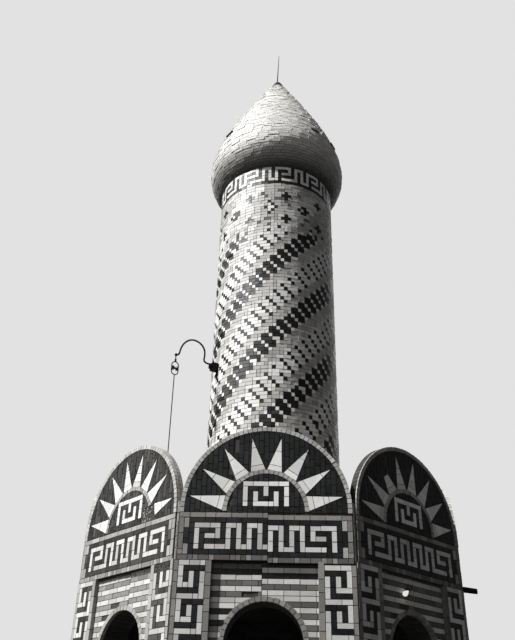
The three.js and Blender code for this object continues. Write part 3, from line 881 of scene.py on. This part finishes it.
def lay_corner_bricks(tiles):
    """Narrow bricks that fill the notch between the panels of two faces."""
    low, top = FRIEZE_BOTTOM, FRIEZE_TOP + 2.2 * COURSE
    while low < top:
        high = min(low + COURSE * float(rng.uniform(1.6, 2.8)), top)
        for left, right in both_sides(PANEL_HALF + 0.004, APOTHEM * MITRE):
            tiles.lay(rect(left, low, right, high), PALE, -0.010, -0.056)
        low = high


def lay_rubble(tiles, box, count, looks):
    """Chips of broken tile and brick that stick to the bed where tiles have fallen."""
    left, low, right, high = box
    for _ in range(count):
        centre = rng.uniform((left, low), (right, high))
        size = rng.uniform(0.010, 0.026, 4)
        turn = rng.uniform(0, math.pi / 2)
        chip = [polar(centre, size[i], turn + i * math.pi / 2) for i in range(4)]
        tiles.lay(chip, looks[int(rng.integers(len(looks)))], float(rng.uniform(0.001, 0.007)))


def lay_gable_back(tiles):
    """Plain courses on the back of a gable, above the roof."""
    rows = math.ceil((GABLE_SPRING + GROUND_RADIUS - ROOF_EDGE) / COURSE)
    for r in range(rows):
        low = ROOF_EDGE + r * COURSE
        left = -GROUND_RADIUS - BACK_BRICK / 2 * (r % 2)
        while left < GROUND_RADIUS:
            outline = clip_width(rect(left, low, left + BACK_BRICK, low + COURSE), GROUND_RADIUS)
            left += BACK_BRICK
            if low + COURSE > GABLE_SPRING:
                outline = clip_to_disc(outline, (0.0, GABLE_SPRING), GROUND_RADIUS)
            tiles.lay(outline, GREY, 0.006)


# Walls: the striped field round an arch is sunk behind the piers and the frieze
ARCH_RING = 0.053
ARCH_CENTRE = (0.0, SPRING)
OPENING = ARCH_RADIUS + ARCH_RING
ARCH_BLOCKS = 21
ARCH_DEPTH = 0.035  # depth of the joint between the front and the back ring
PLINTH_TOP = FRIEZE_BOTTOM - (PIER_ROWS + 0.7) * COURSE
PIER_INNER, PIER_OUTER = 11 * UNIT, 17 * UNIT  # the sides of a pier's fret and its strip
LONG_BRICK = 3.3 * UNIT
HALF_BRICK = 1.7 * UNIT


def lay_arch_ring(tiles):
    """Voussoirs round the arch and blocks down its jambs, two deep in the wall."""
    layers = (
        (GREY, RING_PROUD, -ARCH_DEPTH),
        # the back blocks line the opening and are near black: painted shade inside the doorway
        (NEAR_BLACK, -ARCH_DEPTH - GAP, -(WALL - FIELD_RECESS) - OVER),
    )
    rows = round((SPRING - FLOOR) / (1.2 * COURSE))
    lay_ring(tiles, layers, SPRING, ARCH_RADIUS - OVER, OPENING, ARCH_BLOCKS, FLOOR, rows)


def lay_course(tiles, look, low, high, first, brick_length, half, proud=PROUD, keep=None):
    """One course across a wall, cut round the doorway."""
    left = -half
    right = min(first - half, half)
    while left < half:
        outline = rect(left, low, right, high)
        if (low + high) / 2 < SPRING:
            pieces = [clip(outline, (1, 0), -OPENING), clip(outline, (-1, 0), -OPENING)]
        else:
            middle = ((left + right) / 2, (low + high) / 2)
            near = math.dist(middle, ARCH_CENTRE) < OPENING + 3 * UNIT
            pieces = [clip_off_disc(outline, ARCH_CENTRE, OPENING - 0.02) if near else outline]
        for piece in pieces:
            if piece and keep is not None:
                piece = keep(piece)
            if piece:
                tiles.lay(piece, look, proud)
        left = right
        right = min(right + brick_length, half)


def lay_field(tiles, name):
    """The striped field between the piers, with the right part laid a little lower."""
    _, _, seam, drop = SEAMS[name]
    for part, lower in ((-1, 0.0), (1, drop)):
        head = FIELD_HEAD[part] if name == "front" else ""
        stripes = head + FIELD_BODY * PIER_ROWS

        def keep(piece, part=part):
            cut = clip(piece, (-part, 0), -part * seam * UNIT)
            return [] if not cut or has_fallen(name, cut) else cut

        for r in range(PIER_ROWS):
            high = FRIEZE_BOTTOM - (r + lower - FIELD_RISE) * COURSE
            look = LETTERS[stripes[r]]
            first = UNIT * (1.7 if stripes[r] in "#g" else 2.9 - r % 2)
            low, high = high - COURSE, min(high, FRIEZE_BOTTOM)
            lay_course(tiles, look, low, high, first, 2.95 * UNIT, FIELD_HALF, keep=keep)


def lay_pier_panel(tiles, name, side):
    """A pier's fret and the plain strip between it and the corner."""
    fret = ["g" + row if side < 0 else row[::-1] + "g" for row in PIER_FRET]
    rows = (fret * PIER_ROWS)[:PIER_ROWS]
    left = -PIER_OUTER if side < 0 else PIER_INNER
    top = FRIEZE_BOTTOM - (SEAMS[name][3] * COURSE if side > 0 else 0.0)
    lay_cells(tiles, name, rows, left, top, half=APOTHEM * MITRE - GAP)


def lay_pier_edge(tiles, name, side):
    """The upright strip beside the sunk field. Its bricks wrap the step down to the field."""
    left, right = sorted((side * (FIELD_HALF - OVER), side * PIER_INNER))
    top = FRIEZE_BOTTOM
    while top > PLINTH_TOP:
        low = max(top - COURSE * float(rng.uniform(2.0, 3.4)), PLINTH_TOP)
        outline = rect(left, low, right, top)
        # On the front right face the right strip is a darker brick: painted shade beside the sunk field.
        look = DULL if name == "front_right" and side > 0 else GREY
        if not has_fallen(name, outline):
            tiles.lay(outline, look, PROUD, -FIELD_RECESS - SINK)
        top = low


def courses(top):
    """Bottom, top and length of the first brick of the plain courses from the floor to a level."""
    rows = round((top - FLOOR) / COURSE)
    tall = (top - FLOOR) / rows
    for r in range(rows):
        low = FLOOR + r * tall
        yield low, low + tall, LONG_BRICK if r % 2 else HALF_BRICK


def lay_plain(tiles, look, top, half, proud=PROUD):
    """Plain courses across a wall, from the floor to a level."""
    for low, high, first in courses(top):
        lay_course(tiles, look, low, high, first, LONG_BRICK, half, proud)


def lay_pier_plinth(tiles):
    """Plain courses at the foot of the piers, deep enough to wrap the step."""
    inner, outer = FIELD_HALF - OVER - 0.006, APOTHEM * MITRE - GAP
    for low, high, first in courses(PLINTH_TOP):
        joint = inner + first
        for side in (-1, 1):
            for start, end in ((inner, joint), (joint, outer)):
                left, right = sorted((side * start, side * end))
                tiles.lay(rect(left, low, right, high), GREY, PROUD + 0.006, -FIELD_RECESS - SINK)


def add_faces():
    ground = gable_ground()
    for k, name in enumerate(SEAMS):
        wall = Tiles("wall_tiles_" + name, "wall_brick", on_face(k, FIELD_APOTHEM))
        lay_field(wall, name)
        lay_plain(wall, GREY, PLINTH_TOP, FIELD_HALF)
        lay_arch_ring(wall)
        wall.place = on_face(k)
        for side in (-1, 1):
            lay_pier_panel(wall, name, side)
            lay_pier_edge(wall, name, side)
        lay_pier_plinth(wall)
        wall.place = mitred(k, APOTHEM - WALL, inward=True)
        # the walls' inner faces are near black: painted shade inside the tower
        lay_plain(wall, NEAR_BLACK, roof_low.z, (APOTHEM - WALL) * MITRE - GAP, 0.006)
        frieze = Tiles("frieze_tiles_" + name, "frieze_tile", on_face(k))
        lay_frieze(frieze, name)
        gable = Tiles("gable_tiles_" + name, "gable_tile", on_face(k))
        lay_gable(gable, name, ground)
        if name == "front_left":
            lay_rubble(gable, GABLE_WOUND, 90, (NEAR_BLACK, NEAR_BLACK, DARK, DULL, GREY))
            lay_rubble(gable, PIER_WOUND, 60, (NEAR_BLACK, NEAR_BLACK, NEAR_BLACK, DARK))
        gable.place = mitred(k, APOTHEM)
        lay_gable_ring(gable, name)
        lay_corner_bricks(gable)
        gable.place = mitred(k, APOTHEM - GABLE_DEPTH, inward=True)
        lay_gable_back(gable)
        for tiles in (wall, frieze, gable):
            # the sunlit front left face takes lighter looks: painted sunlight
            if name == "front_left":
                tiles.paint_sunlit()
            tiles.build()


# Shaft: rising bands of dark and light tile, then a belt of crosses and the fret band
SHAFT_COLUMNS = 110
SHAFT_ROWS = 93
# Blocks of two by two cells from one dark band to the next, each as the letters of its lower
# left, lower right, upper left and upper right cell, and the letter that each fades into
BLOCKS = ("g#gg", "....", ".##.", "....", "gg#g", "gggg", "p.pp", "####", "#..#", "####", "gg.g")
FADED = "ggggggppppg"
CROSS_FOOT = 80
CROSSES = ((3, 82), (-2, 86), (3, 90))  # column and row of one cross in each ring of them
CROSS_STEP = 11
WHITE_ROW = 86  # where every other cross is white with a dark edge
PHASE = 13  # block in which a dark band starts at the front of the shaft's foot
TURNED = 1  # columns by which the blocks are turned from the front
STRAYS = 0.025  # share of cells that were set like the cell beside them
PAINTED_SUNLIT_SHARE = 0.8  # share of the dark tiles given the lighter glaze on the sunniest side, as painted sunlight
SUNNY = math.radians(-50)  # bearing of that side from the front
SUNNY_REACH = math.radians(34)
DARKER_BEARING = math.radians(16)  # bearing round which bricks of the belt are set darker
DARKER_REACH = math.radians(26)
DARKER_BESIDE, DARKER_ALONE = 0.6, 0.13  # share of its bricks set darker with a darker one beside them, or not
DASHES = "ggggg###ggg"


def shaft_letter(c, r):
    """The look of one cell, from its column round the shaft and its row from the foot."""
    c += TURNED
    block = (c // 2 - r // 2 + PHASE) % len(BLOCKS)
    if r > CROSS_FOOT - 4 + (c * 7 % 5):
        return FADED[block]
    return BLOCKS[block][c % 2 + 2 * (r % 2)]


def cross_letter(c, r):
    """Crosses scattered over the plain belt, or None where there is none."""
    for column, row in CROSSES:
        away = abs((c - column + 5) % CROSS_STEP - 5) + abs(r - row)
        white = row == WHITE_ROW and (c - column) % (2 * CROSS_STEP) < CROSS_STEP
        if away <= 1 + white:
            return "#" if white and away <= 1 else "."
    return None


def apart(angle, bearing):
    """How far an angle lies from a bearing, up to half a turn either way."""
    return (angle - bearing + math.pi) % (2 * math.pi) - math.pi


def picked_by_bearing(c, share, bearing, reach):
    """True for a share of the shaft's columns, which falls off to either side of a bearing."""
    away = apart(2 * math.pi * (c + 0.5) / SHAFT_COLUMNS, bearing)
    return rng.random() < share * math.exp(-((away / reach) ** 2))


def shaft_rows():
    """The shaft's letters from the top down, with strays and with darker bricks in patches."""
    rows = []
    for r in reversed(range(SHAFT_ROWS)):
        row = ""
        for c in range(SHAFT_COLUMNS):
            letter = cross_letter(c, r) or shaft_letter(c, r)
            if row and rng.random() < STRAYS:
                letter = row[-1]
            if r >= CROSS_FOOT and letter == "g":
                share = DARKER_BESIDE if row.endswith("k") else DARKER_ALONE
                if picked_by_bearing(c, share, DARKER_BEARING, DARKER_REACH):
                    letter = "k"
            row += letter
        rows.append(row)
    return rows


def lay_round(tiles, rows, foot, top):
    """Lays rows of letters round the shaft, joining like cells in a row into long bricks."""
    tall = (top - foot) / len(rows)
    width = 2 * math.pi * SHAFT_RADIUS / SHAFT_COLUMNS
    for i, row in enumerate(rows):
        high = top - i * tall
        c = 0
        while c < SHAFT_COLUMNS:
            longest = 1 + int(rng.integers(1, 3))
            n = run_length(rows, (), (i, c), (0, 1), longest)
            look = SHAFT_LETTERS[row[c]]
            # painted sunlight: on the sunny side most dark tiles take the lighter glaze
            if look == DARK and picked_by_bearing(c, PAINTED_SUNLIT_SHARE, SUNNY, SUNNY_REACH):
                look = PAINTED_SUNLIT_DARK
            tiles.lay(rect(c * width, high - tall, (c + n) * width, high), look, 0.011)
            c += n


def add_shaft():
    tiles = Tiles("shaft_tiles", "shaft_tile", on_shaft)
    lay_round(tiles, shaft_rows(), SHAFT_FOOT, BAND_FOOT)
    tiles.build()
    band = Tiles("band_tiles", "frieze_tile", on_shaft)
    rows = [row * (SHAFT_COLUMNS // len(row)) for row in (*BAND_FRET, ".", "g", DASHES)]
    lay_round(band, rows, BAND_FOOT, SHAFT_TOP)
    band.build()


# Cap: courses of brick on the same bulb and cone as the CAD shell
CAP_WIDEST = 0.56
CAP_HEIGHT = cap_high.z - cap_low.z
CAP_RADIUS = cap_high.x
BULB = ((SHAFT_RADIUS, 0.0), (SHAFT_RADIUS + 0.12, 0.17), (CAP_RADIUS, 0.33), (CAP_RADIUS, CAP_WIDEST))
CONE = ((CAP_RADIUS, CAP_WIDEST), (CAP_RADIUS, CAP_WIDEST + 0.48), (0.70, 2.08), (0.06, CAP_HEIGHT))
CAP_COURSE = 0.052
CAP_PROUD, CAP_BACK = 0.010, -0.022


def bezier(points, steps):
    t = np.linspace(0, 1, steps)[:, None]
    a, b, c, d = (np.array(p) for p in points)
    return (1 - t) ** 3 * a + 3 * t * (1 - t) ** 2 * b + 3 * t * t * (1 - t) * c + t**3 * d


def cap_profile():
    """Radius, height and outward direction of the cap against the length along its outline."""
    line = np.concatenate((bezier(BULB, 60), bezier(CONE, 240)[1:]))
    steps = np.diff(line, axis=0)
    length = np.concatenate(([0.0], np.cumsum(np.hypot(*steps.T))))
    along = np.gradient(line, axis=0)
    along /= np.linalg.norm(along, axis=1, keepdims=True)
    return length, line, np.stack((along[:, 1], -along[:, 0]), axis=1)


# Stoppers in the holes of the scaffold poles: bearing from the front, and height above the shaft
CAP_HOLES = ((math.radians(-50), 1.08), (math.radians(41), 0.94), (math.radians(66), 0.96))
HOLE_REACH = 0.09  # how far a stopper's middle may be from the hole, along its course
HOLE_PROUD = 0.034


def is_hole(along, radius, height):
    """True for the brick that stops a hole."""
    return any(
        abs(apart(along / radius, bearing)) * radius < HOLE_REACH and abs(height - level) < CAP_COURSE / 2
        for bearing, level in CAP_HOLES
    )


def add_cap():
    length, line, outward = cap_profile()

    def place(across, up, proud):
        middle = np.interp(up.mean(axis=1), length, line[:, 0])[:, None]
        radius, height, out, rise = (np.interp(up, length, side) for side in (*line.T, *outward.T))
        reach = np.maximum(radius + proud * out, 0.004)
        return around(across / middle, reach, SHAFT_TOP + height + proud * rise)

    tiles = Tiles("cap_bricks", "cap_brick", place, gap=0.0046, bevel=0.0022, uneven=0.003)
    for i in range(int(length[-1] / CAP_COURSE)):
        low, high = i * CAP_COURSE, (i + 1) * CAP_COURSE
        radius, height = (float(np.interp((low + high) / 2, length, side)) for side in line.T)
        if radius < COLLAR_RADIUS + CAP_COURSE / 2:
            break
        bricks = round(2 * math.pi * radius / rng.uniform(0.17, 0.2))
        width = 2 * math.pi * radius / bricks
        shift = rng.random()
        for j in range(bricks):
            left = (j + shift) * width
            outline = rect(left, low, left + width, high)
            hole = is_hole(left + width / 2, radius, height)
            look, proud = (NEAR_BLACK, HOLE_PROUD) if hole else (BUFF, CAP_PROUD)
            tiles.lay(outline, look, proud, CAP_BACK)
    tiles.build()


# Floor and roof
def add_paving():
    """Square slabs inside the octagon, and a kerb of long stones round its edge."""
    tiles = Tiles("floor_paving", "floor_stone", on_floor(0), gap=0.008, bevel=0.004)
    slab, stones = 0.36, 5
    reach = APOTHEM - WALL
    count = math.ceil(2 * reach / slab)
    for i in range(count):
        for j in range(count):
            left, low = -reach + i * slab, -reach + j * slab
            outline = rect(left, low, left + slab, low + slab)
            for k in range(FACES):
                outline = clip(outline, (math.sin(k * TURN), -math.cos(k * TURN)), reach)
            tiles.lay(outline, STONE, 0.006)
    edge = APOTHEM * MITRE
    width = 2 * edge / stones
    for k in range(FACES):
        tiles.place = mitred(k, APOTHEM)
        for i in range(stones):
            left = -edge + i * width
            tiles.lay(rect(left, 0.0, left + width, FLOOR - 0.004), STONE, 0.012)
    tiles.build()


def add_thresholds():
    """One worn slab in each doorway."""
    tiles = Tiles("doorway_slabs", "floor_stone", gap=0.008, bevel=0.005)
    half = ARCH_RADIUS - 0.012
    for k in range(FACES):
        tiles.place = on_floor(k)
        tiles.lay(rect(-half, -APOTHEM - 0.01, half, -APOTHEM + WALL), STONE, 0.010)
    tiles.build()


def add_roof_coat():
    """The trowelled render on the roof, rising in a fillet against the shaft."""
    spokes, rings = 160, 22
    edge = APOTHEM - GABLE_DEPTH - 0.003
    angle = np.linspace(0, 2 * math.pi, spokes, endpoint=False)[None, :]
    share = np.linspace(0, 1, rings)[:, None]
    inner = SHAFT_RADIUS + 0.004
    to_side = edge / np.cos((angle + TURN / 2) % TURN - TURN / 2)
    radius = to_side * (1 - share) + inner * share
    apothem = edge * (1 - share) + inner * share
    rise = np.clip((edge - apothem) / (edge - ROOF_TOP_APOTHEM), 0, 1) * (roof_high.z - ROOF_EDGE)
    fillet = 0.10 * np.clip(1 - (radius - inner) / 0.16, 0, 1) ** 2
    lump = rng.normal(0, 1, (rings, spokes))
    for _ in range(3):
        lump = (lump + np.roll(lump, 1, 1) + np.roll(lump, -1, 1)) / 3
        lump[1:-1] = (lump[:-2] + lump[1:-1] + lump[2:]) / 3
    top = ROOF_EDGE + rise + 0.022 + fillet + 0.010 * np.clip(lump, -1, 1)
    bottom = ROOF_EDGE + rise - 0.02 + 0 * radius
    upper, lower = (around(angle, radius, level) for level in (top, bottom))
    points = np.concatenate((upper, lower[::-1])).reshape(-1, 3)
    i, j = np.indices((2 * rings, spokes))
    next_i, next_j = (i + 1) % (2 * rings), (j + 1) % spokes
    corners = ((i, j), (i, next_j), (next_i, next_j), (next_i, j))
    faces = np.stack([ring * spokes + spoke for ring, spoke in corners], axis=-1).reshape(-1, 4)
    add_piece("roof_coat", "roof_render", [RENDER], points, faces.tolist()).data.shade_smooth()


# CAD nodes: their own looks
SLOT_LOOKS = dict(
    floor_stone=STONE, pier_brick=BED, wall_brick=BED, frieze_tile=BED, gable_tile=BED, beam_brick=PAINTED_SHADE_BED,
    roof_render=RENDER, shaft_tile=PALE_BED, cap_brick=CAP_BED, dark_iron=IRON, porcelain=PORCELAIN,
    cable_sheath=SHEATH, lamp_glass=OPAL,
)
SMOOTH = ("bracket_arm", "insulator_frame", "insulator", "lamp_bulb", "drop_cable", "finial_rod")


def dress_nodes():
    for part in frame["record"]["subparts"]:
        for slot in nodes[part["node"]].material_slots:
            slot.material = SLOT_LOOKS[part["material_slot"]]
    for name in SMOOTH:
        nodes[name].data.shade_smooth()


add_camera()
add_light()
add_floor()
dress_nodes()
add_faces()
add_shaft()
add_cap()
add_paving()
add_thresholds()
add_roof_coat()
